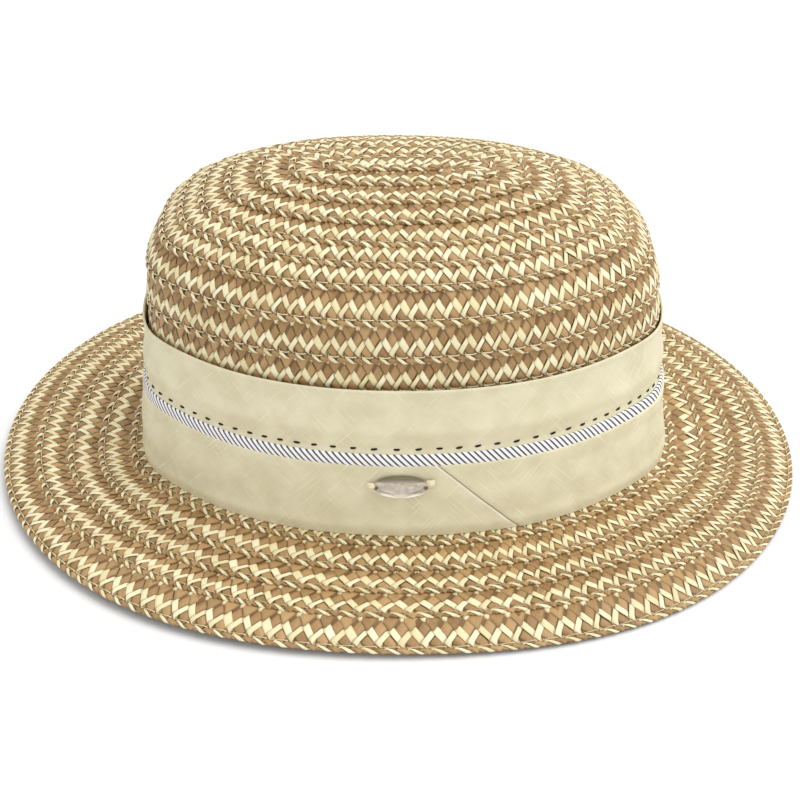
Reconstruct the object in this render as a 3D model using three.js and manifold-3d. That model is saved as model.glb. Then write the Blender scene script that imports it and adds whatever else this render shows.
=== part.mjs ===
// Straw boater hat: a crown and a brim of lapped straw braid, a cloth band in two strips with a
// narrow ribbon between them, and a small oval plate on the front of the band.
// Millimetres, +Z up. X runs along the head, the front of the band faces -Y, and the hat stands
// on the flat rim of its brim at Z = 0.

import * as THREE from "three";
import { mergeVertices } from "three/addons/utils/BufferGeometryUtils.js";
import Module from "manifold-3d";

// Plan of the hat. An outline is a round of the given half width, drawn out along X by the spread.
const crownHalfWidth = 80.2;
const crownSpread = 22;
const crownSquareness = 1.39;
const brimSpread = 19;
const brimSquareness = 2.43;

// Crown
const strawThickness = 2.2;
const wallHeight = 67.4;
const wallLean = 6;
const domeHeight = 38.7;
const domeFullness = 2.27;
const rowRelief = 0.5;

// Brim
const brimWidth = 56.8;
const brimDroop = 6.8;
const restRimWidth = 3;

// Band
const clothThickness = 1.1;
const bandHeight = 56.5;
const bandLooseness = 0.8;
const lowerClothHeight = 28.1;
const pipingHeight = 4.3;
const pipingThickness = 1.7;
const clothFold = 1.6;

// Oval plate on the lower cloth
const badgeLength = 21.4;
const badgeHeight = 7.9;
const badgeThickness = 1.5;
const badgeRim = 1.5;
const badgeRimEnd = 2.7;
const badgeRecess = 0.5;
const badgePoint = 1.35;
const badgeHole = 1.7;
const badgeHoleInset = 2.1;
const badgeAside = -1.2;
const badgeRise = 20.3;

// Clearance between pieces that touch
const seam = 0.3;

// Fineness
const roundSteps = 60;

// Rows of braid on the crown: the outer edge of each, measured over the straw from the middle of
// the tip, as a share of the way to the top of the band.
const crownRows = [
  { edge: 0.181 },
  { edge: 0.302 },
  { edge: 0.407 },
  { edge: 0.511 },
  { edge: 0.596 },
  { edge: 0.68 },
  { edge: 0.8 },
  { edge: 0.928 },
];

// Rows of braid on the brim: the outer edge of each, as a share of the brim's width.
const brimRows = [{ edge: 0.109 }, { edge: 0.335 }, { edge: 0.542 }, { edge: 0.757 }, { edge: 1 }];

// Section of the brim: share of its width, and share of its droop reached there.
const brimSection = [
  { out: 0, drop: 0 },
  { out: 0.11, drop: 0.02 },
  { out: 0.34, drop: 0.22 },
  { out: 0.55, drop: 0.26 },
  { out: 0.76, drop: 0.32 },
  { out: 0.88, drop: 0.6 },
  { out: 0.95, drop: 0.85 },
  { out: 1, drop: 1 },
];

const rootZ = strawThickness + brimDroop;

// A point of an outline of half width b at the angle a.
function outlinePoint(b, spread, squareness, a) {
  const c = Math.cos(a);
  const pull = Math.tanh(squareness * c) / Math.tanh(squareness);
  return [b * c + spread * pull, b * Math.sin(a)];
}

// Skins a list of rings {b, z, spread, squareness}. With closed the last ring meets the first;
// otherwise the first and last have no half width and are zipped shut along the middle line.
function skin(rings, closed) {
  const points = [];
  const faces = [];
  for (const ring of rings) {
    for (let i = 0; i < roundSteps; i += 1) {
      const a = (2 * Math.PI * i) / roundSteps;
      const [x, y] = outlinePoint(ring.b, ring.spread, ring.squareness, a);
      points.push(x, y, ring.z);
    }
  }
  const count = closed ? rings.length : rings.length - 1;
  for (let r = 0; r < count; r += 1) {
    const s = (r + 1) % rings.length;
    for (let i = 0; i < roundSteps; i += 1) {
      const j = (i + 1) % roundSteps;
      const p = r * roundSteps + i;
      const q = r * roundSteps + j;
      const u = s * roundSteps + i;
      const v = s * roundSteps + j;
      faces.push([p, u, v], [p, v, q]);
    }
  }
  return tidy(points, faces);
}

// Joins equal points and leaves out triangles that have shrunk to a line.
function tidy(points, faces) {
  const raw = new THREE.BufferGeometry();
  raw.setAttribute("position", new THREE.Float32BufferAttribute(points, 3));
  raw.setIndex(faces.flat());
  const merged = mergeVertices(raw, 0.002);
  const index = merged.getIndex().array;
  const kept = [];
  for (let i = 0; i < index.length; i += 3) {
    const [a, b, c] = [index[i], index[i + 1], index[i + 2]];
    if (a !== b && b !== c && c !== a) {
      kept.push(a, b, c);
    }
  }
  merged.setIndex(kept);
  merged.computeVertexNormals();
  return merged;
}

// Mean outer face of the crown in section, from the middle of the tip down to the brim.
function crownLine() {
  const line = [];
  const top = crownHalfWidth - wallLean;
  const domeSteps = 48;
  for (let i = 0; i <= domeSteps; i += 1) {
    const a = (Math.PI / 2) * (1 - i / domeSteps);
    line.push({
      b: i === 0 ? 0 : top * Math.cos(a) ** (2 / domeFullness),
      z: wallHeight + domeHeight * Math.sin(a) ** (2 / domeFullness),
    });
  }
  for (const share of [0.25, 0.5, 0.75, 1]) {
    line.push({ b: top + wallLean * share, z: wallHeight * (1 - share) });
  }
  return line;
}

// Point of a section line at a distance along it, with its outward normal.
function alongLine(line, distance) {
  let rest = distance;
  for (let i = 1; i < line.length; i += 1) {
    const db = line[i].b - line[i - 1].b;
    const dz = line[i].z - line[i - 1].z;
    const length = Math.hypot(db, dz);
    if (rest <= length || i === line.length - 1) {
      const t = rest / length;
      return {
        b: line[i - 1].b + db * t,
        z: line[i - 1].z + dz * t,
        nb: -dz / length,
        nz: db / length,
      };
    }
    rest -= length;
  }
  return null;
}

function lineLength(line) {
  let total = 0;
  for (let i = 1; i < line.length; i += 1) {
    total += Math.hypot(line[i].b - line[i - 1].b, line[i].z - line[i - 1].z);
  }
  return total;
}

// Half width of the crown's mean outer face at a height over the brim's root.
function wallAt(z) {
  return crownHalfWidth - (wallLean * z) / wallHeight;
}

function crownRing(b, z) {
  return { b, z: rootZ + z, spread: crownSpread, squareness: crownSquareness };
}

// Crown: down the stepped outside, round the bottom edge and up the smooth inside.
function crownGeometry() {
  const line = crownLine();
  const total = lineLength(line);
  const wallSlope = Math.hypot(wallHeight, wallLean) / wallHeight;
  const visible = total - bandHeight * wallSlope;
  const rings = [];
  const tip = alongLine(line, 0);
  rings.push(crownRing(0, tip.z + rowRelief / 2));
  let inner = 0;
  crownRows.forEach((row, n) => {
    const edge = row.edge * visible;
    const low = n === 0 ? rowRelief / 2 : -rowRelief;
    const parts = 3;
    for (let i = n === 0 ? 1 : 0; i <= parts; i += 1) {
      const t = i / parts;
      const p = alongLine(line, inner + (edge - inner) * t);
      const lift = low + (rowRelief - low) * t;
      rings.push(crownRing(p.b + p.nb * lift, p.z + p.nz * lift));
    }
    inner = edge;
  });
  const last = alongLine(line, inner);
  rings.push(crownRing(last.b - last.nb * rowRelief, last.z - last.nz * rowRelief));
  const under = alongLine(line, visible - rowRelief * 2);
  rings.push(crownRing(under.b, under.z));
  rings.push(crownRing(wallAt(bandHeight / 2), bandHeight / 2));
  rings.push(crownRing(crownHalfWidth, seam));
  rings.push(crownRing(crownHalfWidth - strawThickness, seam));
  const insideSteps = 14;
  for (let i = 1; i <= insideSteps; i += 1) {
    const way = total * (1 - i / insideSteps);
    const p = alongLine(line, way);
    const b = i === insideSteps ? 0 : Math.max(p.b - p.nb * strawThickness, 0);
    rings.push(crownRing(b, p.z - p.nz * strawThickness));
  }
  return skin(rings, false);
}

function brimDrop(out) {
  for (let i = 1; i < brimSection.length; i += 1) {
    const a = brimSection[i - 1];
    const b = brimSection[i];
    if (out <= b.out) {
      const t = (out - a.out) / (b.out - a.out);
      return (a.drop + (b.drop - a.drop) * t) * brimDroop;
    }
  }
  return brimDroop;
}

function brimRing(out, z) {
  return {
    b: crownHalfWidth + brimWidth * out,
    z,
    spread: crownSpread + (brimSpread - crownSpread) * out,
    squareness: crownSquareness + (brimSquareness - crownSquareness) * out,
  };
}

// Brim: out over the stepped top, round the rim and back under it.
function brimGeometry() {
  const rings = [];
  const innerShare = -strawThickness / brimWidth;
  const step = rowRelief * 2;
  rings.push(brimRing(innerShare, rootZ));
  const bandFoot = (clothThickness + seam * 2) / brimWidth;
  rings.push(brimRing(bandFoot, rootZ));
  let inner = bandFoot;
  brimRows.forEach((row, n) => {
    const rim = n === brimRows.length - 1;
    const topOfEdge = rim ? row.edge - 0.01 : row.edge;
    if (n > 0) {
      rings.push(brimRing(inner + 0.001, rootZ - brimDrop(inner) - step));
    }
    rings.push(brimRing(topOfEdge, rootZ - brimDrop(row.edge)));
    inner = row.edge;
  });
  const rimBottom = strawThickness * 0.35;
  rings.push(brimRing(1, rimBottom + strawThickness * 0.3));
  rings.push(brimRing(1, rimBottom));
  rings.push(brimRing(1 - (rimBottom * 0.7) / brimWidth, 0));
  rings.push(brimRing(1 - restRimWidth / brimWidth, 0));
  const under = [0.88, 0.76, 0.55, 0.34, 0.11];
  for (const out of under) {
    rings.push(brimRing(out, Math.max(rootZ - brimDrop(out) - strawThickness - rowRelief, 0.02)));
  }
  rings.push(brimRing(innerShare, rootZ - strawThickness - rowRelief));
  return skin(rings, true);
}

// Space between the crown and the inside of the band at a height over the brim's root.
function bandSpace(z) {
  const share = z / bandHeight;
  return seam + bandLooseness * share * share;
}

function bandRing(z, out) {
  return crownRing(wallAt(z) + bandSpace(z) + out, z);
}

// A strip of folded cloth between two heights: flat inside, soft folds at both edges.
function clothGeometry(low, high) {
  const fold = Math.min(clothFold, (high - low) / 4);
  const middle = (low + high) / 2;
  const rings = [
    bandRing(high, clothThickness * 0.15),
    bandRing(high, clothThickness * 0.65),
    bandRing(high - fold, clothThickness),
    bandRing(middle, clothThickness * 0.9),
    bandRing(low + fold, clothThickness),
    bandRing(low, clothThickness * 0.65),
    bandRing(low, 0),
    bandRing(middle, 0),
  ];
  return skin(rings, true);
}

// The ribbon between the two strips, rounded on the outside.
function pipingGeometry(low, high) {
  const round = pipingHeight * 0.25;
  const rings = [
    bandRing(high, 0),
    bandRing(high, pipingThickness * 0.6),
    bandRing(high - round, pipingThickness),
    bandRing(low + round, pipingThickness),
    bandRing(low, pipingThickness * 0.6),
    bandRing(low, 0),
  ];
  return skin(rings, true);
}

// A solid of the boolean library from a geometry.
function solidOf(wasm, geometry) {
  const plain = geometry.clone();
  plain.deleteAttribute("normal");
  plain.deleteAttribute("uv");
  const merged = mergeVertices(plain, 1e-4);
  const mesh = new wasm.Mesh({
    numProp: 3,
    vertProperties: new Float32Array(merged.getAttribute("position").array),
    triVerts: new Uint32Array(merged.getIndex().array),
  });
  return new wasm.Manifold(mesh);
}

function geometryOf(solid) {
  const mesh = solid.getMesh();
  const geometry = new THREE.BufferGeometry();
  const count = mesh.vertProperties.length / mesh.numProp;
  const points = new Float32Array(count * 3);
  for (let i = 0; i < count; i += 1) {
    for (let k = 0; k < 3; k += 1) {
      points[i * 3 + k] = mesh.vertProperties[i * mesh.numProp + k];
    }
  }
  geometry.setAttribute("position", new THREE.BufferAttribute(points, 3));
  geometry.setIndex(Array.from(mesh.triVerts));
  return geometry;
}

// An upright slab with an oval outline, from one depth to another; its ends are round at a point
// of 1 and more pointed above that.
function ovalSlab(halfLength, halfHeight, from, to, centre, sides, point) {
  const shape = new THREE.Shape();
  for (let i = 0; i < sides; i += 1) {
    const a = (2 * Math.PI * i) / sides;
    const x = centre + halfLength * Math.cos(a);
    const rise = Math.sin(a);
    const y = halfHeight * Math.sign(rise) * Math.abs(rise) ** point;
    if (i === 0) {
      shape.moveTo(x, y);
    } else {
      shape.lineTo(x, y);
    }
  }
  const depth = to - from;
  const slab = new THREE.ExtrudeGeometry(shape, { depth, bevelEnabled: false, steps: 1 });
  slab.translate(0, 0, from);
  return slab;
}

// Oval plate: cut flat with its rim, recess and two holes, then laid on the band's front face.
function badgeGeometry(wasm) {
  const halfLength = badgeLength / 2;
  const halfHeight = badgeHeight / 2;
  const recess = badgeThickness - badgeRecess;
  const holeAt = halfLength - badgeHoleInset;
  const outer = ovalSlab(halfLength, halfHeight, 0, badgeThickness, 0, 40, badgePoint);
  let plate = solidOf(wasm, outer);
  const dish = ovalSlab(
    halfLength - badgeRimEnd,
    halfHeight - badgeRim,
    recess,
    badgeThickness + 1,
    0,
    40,
    badgePoint,
  );
  plate = plate.subtract(solidOf(wasm, dish));
  for (const side of [-1, 1]) {
    const radius = badgeHole / 2;
    const hole = ovalSlab(radius, radius, -1, badgeThickness + 1, side * holeAt, 12, 1);
    plate = plate.subtract(solidOf(wasm, hole));
  }
  const flat = geometryOf(plate);
  const position = flat.getAttribute("position");
  const farFace = clothThickness + seam;
  for (let i = 0; i < position.count; i += 1) {
    const x = badgeAside + position.getX(i);
    const z = badgeRise + position.getY(i);
    const front = frontFace(x, z) - farFace - position.getZ(i);
    position.setXYZ(i, x, front, rootZ + z);
  }
  flat.computeVertexNormals();
  return flat;
}

// Y of the inside of the band on the front of the hat, at a place x and a height z.
function frontFace(x, z) {
  const b = wallAt(z) + bandSpace(z);
  let low = -Math.PI;
  let high = 0;
  for (let i = 0; i < 40; i += 1) {
    const a = (low + high) / 2;
    const [px] = outlinePoint(b, crownSpread, crownSquareness, a);
    if (px < x) {
      low = a;
    } else {
      high = a;
    }
  }
  return outlinePoint(b, crownSpread, crownSquareness, (low + high) / 2)[1];
}

function piece(name, geometry, color, roughness, metalness) {
  const material = new THREE.MeshStandardMaterial({ color, roughness, metalness });
  const mesh = new THREE.Mesh(geometry, material);
  mesh.name = name;
  return mesh;
}

const wasm = await Module();
wasm.setup();

const lowerTop = seam + lowerClothHeight;
const pipingLow = lowerTop + seam;
const pipingTop = pipingLow + pipingHeight;
const upperLow = pipingTop + seam;

const hat = new THREE.Group();
hat.add(piece("crown", crownGeometry(), 0xc2a274, 0.75, 0));
hat.add(piece("brim", brimGeometry(), 0xc2a274, 0.75, 0));
hat.add(piece("band_lower", clothGeometry(seam, lowerTop), 0xded6b8, 0.9, 0));
hat.add(piece("piping", pipingGeometry(pipingLow, pipingTop), 0xcfd0da, 0.7, 0));
hat.add(piece("band_upper", clothGeometry(upperLow, bandHeight), 0xded6b8, 0.9, 0));
hat.add(piece("badge", badgeGeometry(wasm), 0xaaa59b, 0.3, 1));

export default hat;
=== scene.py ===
# Straw boater hat: plaited straw crown and brim, cream cloth band, striped piping, oval plate
import math
import bpy
import numpy as np
from mathutils import Matrix


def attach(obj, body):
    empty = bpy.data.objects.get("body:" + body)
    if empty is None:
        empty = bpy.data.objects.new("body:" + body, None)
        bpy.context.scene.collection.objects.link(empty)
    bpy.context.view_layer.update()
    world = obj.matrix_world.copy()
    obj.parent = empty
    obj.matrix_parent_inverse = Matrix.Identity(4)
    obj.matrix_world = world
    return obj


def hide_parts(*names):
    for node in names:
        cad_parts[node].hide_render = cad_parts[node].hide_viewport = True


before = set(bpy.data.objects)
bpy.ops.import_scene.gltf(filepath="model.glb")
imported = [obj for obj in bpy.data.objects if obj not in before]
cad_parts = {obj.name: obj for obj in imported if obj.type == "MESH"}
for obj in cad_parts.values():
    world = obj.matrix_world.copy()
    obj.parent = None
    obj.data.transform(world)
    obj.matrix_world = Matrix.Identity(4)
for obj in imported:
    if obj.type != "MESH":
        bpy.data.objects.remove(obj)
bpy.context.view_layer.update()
mm = 0.001
print("frame loaded")


# Numbers and curves
def smoothStep(x):
    # 3x^2 - 2x^3 between 0 and 1, flat outside
    x = np.clip(x, 0.0, 1.0)
    return x * x * (3.0 - 2.0 * x)


def wander(x, seed, period, count=5):
    # sum of sines whose wavelengths are whole shares of the period, from -1 to 1
    r = np.random.default_rng(seed)
    total = np.zeros_like(x)
    for n in range(1, count + 1):
        wave = np.sin(2 * np.pi * n * x / period + r.uniform(0, 6.28))
        total = total + wave * r.uniform(0.5, 1) / n ** 0.6
    return total / 2.2


hatShape = {
    "rootZ": 9.0, "halfWidth": 80.2, "spread": 21.0, "squareness": 1.39,
    "wallHeight": 67.4, "wallLean": 6.0, "domeHeight": 38.7, "domeFullness": 2.27,
    "brimWidth": 56.8, "brimSpread": 19.0, "brimSquareness": 2.43,
    "bandHeight": 56.5, "bandLooseness": 0.8,
    # how much fuller the crown is at its corners, and the straw's middle under its outer face
    "corner": 0.55, "crownMiddle": -0.9,
    # above this height the crown leans over to the left and is a little higher there
    "domeFrom": 55.0, "domeReach": 35, "domeShift": -0.9, "domeTilt": 0.014,
}


def outlineAt(b, spread, squareness, angle, corner=hatShape["corner"]):
    # a round of half width b, drawn out along X and fuller at its corners:
    # x = b cos a + spread tanh(q cos a) / tanh(q), y = b sin a (1 + corner cos^12 a)
    c = np.cos(angle)
    x = b * c + spread * np.tanh(squareness * c) / np.tanh(squareness)
    return x, b * np.sin(angle) * (1 + corner * c ** 12)


def crownSection():
    # section of the crown's mean face from the middle of the tip down to the brim: a quarter of
    # a superellipse over a straight leaning wall, with its distance along and its normal
    s = hatShape
    top = s["halfWidth"] - s["wallLean"]
    a = np.linspace(np.pi / 2, 0, 900)
    b = top * np.maximum(np.cos(a), 0) ** (2 / s["domeFullness"])
    z = s["wallHeight"] + s["domeHeight"] * np.sin(a) ** (2 / s["domeFullness"])
    b[0] = 0.0
    w = np.linspace(0, 1, 60)[1:]
    b = np.concatenate([b, top + s["wallLean"] * w])
    z = np.concatenate([z, s["wallHeight"] * (1 - w)])
    along = np.concatenate([[0], np.cumsum(np.hypot(np.diff(b), np.diff(z)))])
    even = np.linspace(0, along[-1], 1400)
    b, z = np.interp(even, along, b), np.interp(even, along, z)
    db, dz = np.gradient(b, even), np.gradient(z, even)
    length = np.hypot(db, dz)
    return {"t": even, "b": b, "z": z, "nb": -dz / length, "nz": db / length}


section = crownSection()
crownLength = float(section["t"][-1])


def crownPoint(t, angle, lift):
    # point at the distance t over the straw from the middle of the tip; before 0 it crosses over
    s = hatShape
    lift = lift + s["crownMiddle"]
    back = t < 0
    tt = np.abs(t)
    b = np.interp(tt, section["t"], section["b"])
    z = np.interp(tt, section["t"], section["z"])
    nb = np.interp(tt, section["t"], section["nb"])
    nz = np.interp(tt, section["t"], section["nz"])
    b = np.where(back, -b, b) + np.where(back, -nb, nb) * lift
    x, y = outlineAt(b, s["spread"], s["squareness"], angle)
    over = smoothStep((z - s["domeFrom"]) / s["domeReach"])
    height = s["rootZ"] + z + nz * lift - s["domeTilt"] * x * over
    return np.stack([x + s["domeShift"] * over, y, height], -1)


brimSection = {
    # distance out over the straw from the crown's wall, the level reach from the wall there, and
    # the height of the straw's middle over the root
    "out": [-16, -4, -1.6, 0, 6.2, 12, 19, 31, 43, 47, 50, 54, 56.8, 58],
    "reach": [-3.4, -3.1, -1.6, 0, 6.2, 12, 19, 31, 43, 46.8, 49.6, 53.2, 55.8, 56.9],
    "z": [22, 4, 0.6, 0, -0.1, -0.7, -1.5, -1.8, -2.2, -3.2, -4.2, -5.8, -6.7, -6.8],
}
brimBend = {
    # the brim's own bends at its rim: shift to the left and back, and lift off the table
    "shiftX": -2.3, "shiftY": 1.3, "lift": 0.7, "tilt": -1.6, "bow": 0.7, "wave": 0.35,
    "middle": -0.9, "frontOut": 0.4, "rightForward": 3.0,
    # half the brim's length, how the bends grow outward, and where the inner edge turns up
    "halfLength": 155, "growth": 1.4, "wavePhase": 0.6, "turnUp": 4.0,
}
evenOut = np.linspace(-16, 58, 297)


def smoothed(values, width):
    # running mean, with the ends held
    padded = np.concatenate([np.full(width, values[0]), values, np.full(width, values[-1])])
    kernel = np.ones(2 * width + 1) / (2 * width + 1)
    return np.convolve(padded, kernel, "same")[width:-width]


brimReach = smoothed(np.interp(evenOut, brimSection["out"], brimSection["reach"]), 6)
brimHeight = smoothed(np.interp(evenOut, brimSection["out"], brimSection["z"]), 6)


def brimPoint(out, angle, lift):
    # point at the distance out from the crown's wall; below 0 it turns up inside the crown
    s, bend = hatShape, brimBend
    reach = np.interp(out, evenOut, brimReach)
    z = np.interp(out, evenOut, brimHeight) + s["rootZ"] + bend["middle"]
    share = np.clip(reach / s["brimWidth"], 0, 1)
    up = smoothStep((out + bend["turnUp"]) / bend["turnUp"])
    slope = np.interp(out, evenOut, np.gradient(brimHeight, evenOut)) * up
    length = np.sqrt(1 + slope * slope)
    spread = s["spread"] + (s["brimSpread"] - s["spread"]) * share
    squareness = s["squareness"] + (s["brimSquareness"] - s["squareness"]) * share
    b = s["halfWidth"] + reach + (1 - up) * lift - up * lift * slope / length
    x, y = outlineAt(b, spread, squareness, angle, s["corner"] * (1 - share))
    end = x / bend["halfLength"]
    raised = bend["lift"] + bend["tilt"] * end + bend["bow"] * end * end
    wave = bend["wave"] * np.sin(3 * angle + bend["wavePhase"])
    raised = raised + wave * np.clip(1 - end, 0, 1)
    z = z + up * lift / length + raised * share ** bend["growth"]
    forward = bend["frontOut"] * smoothStep(-np.sin(angle)) + bend["rightForward"] * smoothStep(end)
    return np.stack([x + bend["shiftX"] * share, y + (bend["shiftY"] - forward) * share, z], -1)


# Meshes
def meshFromArrays(name, points, loops, counts):
    # a mesh from points in millimetres, the corners of all faces in a row, and corners per face
    me = bpy.data.meshes.new(name)
    me.vertices.add(len(points))
    me.vertices.foreach_set("co", (np.asarray(points, np.float64) * mm).astype(np.float32).ravel())
    me.loops.add(len(loops))
    me.loops.foreach_set("vertex_index", np.asarray(loops, np.int32))
    me.polygons.add(len(counts))
    starts = np.concatenate([[0], np.cumsum(counts)[:-1]])
    me.polygons.foreach_set("loop_start", starts.astype(np.int32))
    me.update(calc_edges=True)
    me.validate()
    return me


def addPiece(name, me, material, sharp=None):
    # a smooth piece of the hat, whose edges over the sharp angle in degrees stay crisp
    ob = bpy.data.objects.new(name, me)
    bpy.context.scene.collection.objects.link(ob)
    me.materials.append(material)
    me.polygons.foreach_set("use_smooth", np.full(len(me.polygons), True))
    if sharp is not None:
        me.set_sharp_from_angle(angle=math.radians(sharp))
    me.update()
    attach(ob, "root")
    return ob


def faceVolume(points, loops, counts):
    # signed volume of a closed mesh whose faces all have the same number of corners
    f = loops.reshape(-1, counts)
    p = points[f]
    total = 0.0
    for i in range(1, counts - 1):
        total += np.einsum("ij,ij->i", p[:, 0], np.cross(p[:, i], p[:, i + 1])).sum()
    return total / 6


def gridFaces(rows, cols, closeRows, closeCols):
    # corner indices of the quads of a grid that may close on itself either way
    i = np.arange(rows if closeRows else rows - 1)
    j = np.arange(cols if closeCols else cols - 1)
    i, j = np.meshgrid(i, j, indexing="ij")
    i2, j2 = (i + 1) % rows, (j + 1) % cols
    return np.stack([i * cols + j, i2 * cols + j, i2 * cols + j2, i * cols + j2], -1).reshape(-1, 4)


# Straw plait
plait = {
    "spacing": 2.85, "tanWidth": 3.72, "creamWidth": 2.4, "lane": 2.3, "weave": 0.29,
    "arch": 0.2, "belly": 0.12, "wide": 0.62, "leave": 0.27, "sink": 0.05,
    "tanChange": 0.05, "creamChange": 0.16, "shiftChange": 0.12, "liftChange": 0.04,
    "creamLift": 0.07, "twist": 0.05,
    # corners of a strand's section as shares of its half width, and the angle of a crisp edge
    "corners": [-1.0, -0.5, 0.5, 1.0, 0.0], "sharp": 60,
    # how square to its crossing strands a strand's mesh row lies at the ends: crossing, share
    "turnAt": [0.5, 5.4, 6.1], "turn": [0.15, 1.0, 1.0, 0.2],
    # crossings that end later than the strands' widths give
    "late": {
        "creamDown": {0: 0.22, 1: 0.27, 4: 0.2}, "creamUp": {0: 0.2},
        "tanDown": {0: 0.14}, "tanUp": {0: 0.3},
    },
}
overUnder = {
    # which way each strand goes at the five crossings, from the inner edge to the outer edge
    "creamDown": [-1, 1, 1, -1, 1], "creamUp": [-1, -1, 1, 1, -1],
    "tanDown": [-0.25, 1, -1, -1, 1], "tanUp": [1, -1, -1, 1, -1],
}
strandWidth = {
    # share of a strand's full width along its crossings
    "creamDown": (
        [0.0, 1.4, 2.4, 3.4, 4.3, 4.9, 5.4, 6.1], [0.9, 0.95, 1.08, 1.05, 0.72, 0.72, 0.78, 0.6],
    ),
    "creamUp": ([0.0, 2.3, 3.0, 3.9, 4.4, 6.1], [0.9, 0.7, 0.78, 0.82, 0.66, 0.6]),
    "tanDown": ([0.0, 4.4, 5.2, 6.1], [1.0, 1.0, 1.08, 1.08]),
    "tanUp": ([0.0, 0.8, 1.2, 1.7, 4.4, 5.2, 6.1], [1.3, 1.3, 1.2, 1.0, 1.0, 1.08, 1.08]),
}
strandAside = {
    # a strand's bend to the right, in spacings: the upper tan strands lie over the pale tops
    "tanUp": ([0.0, 0.7, 1.2, 2.2], [0.14, 0.2, 0.2, 0.0]),
}
plaitProfile = {
    # across the plait in lanes: how far back from the row's edge it lies, its lift, and how far
    # it slides along the row; flat, then a crease where the rows are sewn, then the rolled edge
    "lane": [-0.6, 0.0, 1.0, 2.0, 3.0, 3.6, 4.0, 4.3, 4.55, 4.8, 5.1, 5.4, 5.7, 5.9, 6.1, 6.5],
    "back": [15.3, 13.7, 10.8, 8.2, 5.8, 4.5, 3.7, 2.8, 1.95, 1.55, 1.15, 0.65, 0.15, 0.05, 0.5, 1.3],
    "lift": [
        -1.05, -0.95, -0.6, -0.4, -0.18, -0.04, 0.0, -0.12,
        -0.36, 0.02, 0.4, 0.5, 0.25, -0.1, -0.4, -0.5,
    ],
    "slide": [0, 0, 0, 0, 0, 0, 0, 0.1, 0.4, 0.8, 1.3, 1.75, 2.2, 2.4, 2.5, 2.6],
}


def profileAt(lane):
    # the profile and its outward normal, as shares of out and lift
    p = plaitProfile
    e = 0.12
    back = np.interp(lane, p["lane"], p["back"])
    lift = np.interp(lane, p["lane"], p["lift"])
    outStep = np.interp(lane - e, p["lane"], p["back"]) - np.interp(lane + e, p["lane"], p["back"])
    liftStep = np.interp(lane + e, p["lane"], p["lift"]) - np.interp(lane - e, p["lane"], p["lift"])
    length = np.maximum(np.hypot(outStep, liftStep), 1e-6)
    return back, lift, -liftStep / length, outStep / length


def strandRows(kind, fine):
    # rows of a strand's mesh as crossing numbers, and how high it lies there from -1 to 1: level
    # over or under each crossing, and down again just before the strand that covers it
    p = plait
    down = "Down" in kind
    cream = "cream" in kind
    levels = [0.9 if cream else 0.3 if down else -0.1] + overUnder[kind] + [0.6 if down else -0.6]
    if not fine:
        rows = [-0.2, 1.0, 2.0, 3.0, 4.0, 5.0, 6.1]
        return np.array(rows), np.array([0.0] + levels[1:6] + [0.0])
    # the upper tan strands are broad at the inner edge and lie over the others there
    rows, heights = ([-0.8, -0.55], [0.5, 1.0]) if kind == "tanUp" else ([-0.2], [0.0])
    levels[0] = 1.0 if kind == "tanUp" else levels[0]
    for k in range(6):
        border = k + (p["wide"] if (k % 2 == 1) == cream else 1 - p["wide"])
        border = border + p["late"].get(kind, {}).get(k, 0.0)
        a, b = levels[k], levels[k + 1]
        if a * b > 0:
            rows, heights = rows + [border], heights + [(a + b) / 2]
        elif a > b:
            rows, heights = rows + [border - p["leave"], border + p["sink"]], heights + [a, b]
        else:
            rows, heights = rows + [border - p["sink"], border + p["leave"]], heights + [a, b]
    rows = rows + ([5.9, 6.1] if down else [6.1])
    heights = heights + ([0.3, 0.0] if down else [0.0])
    filled = [rows[0]]
    for nextRow in rows[1:]:
        limit = 1.5 if filled[-1] < 4.25 else 0.5 if down else 0.75
        pieces = int(np.ceil((nextRow - filled[-1]) / limit))
        filled = filled + list(np.linspace(filled[-1], nextRow, pieces + 1)[1:])
    return np.array(filled), np.interp(filled, rows, heights)


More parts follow.
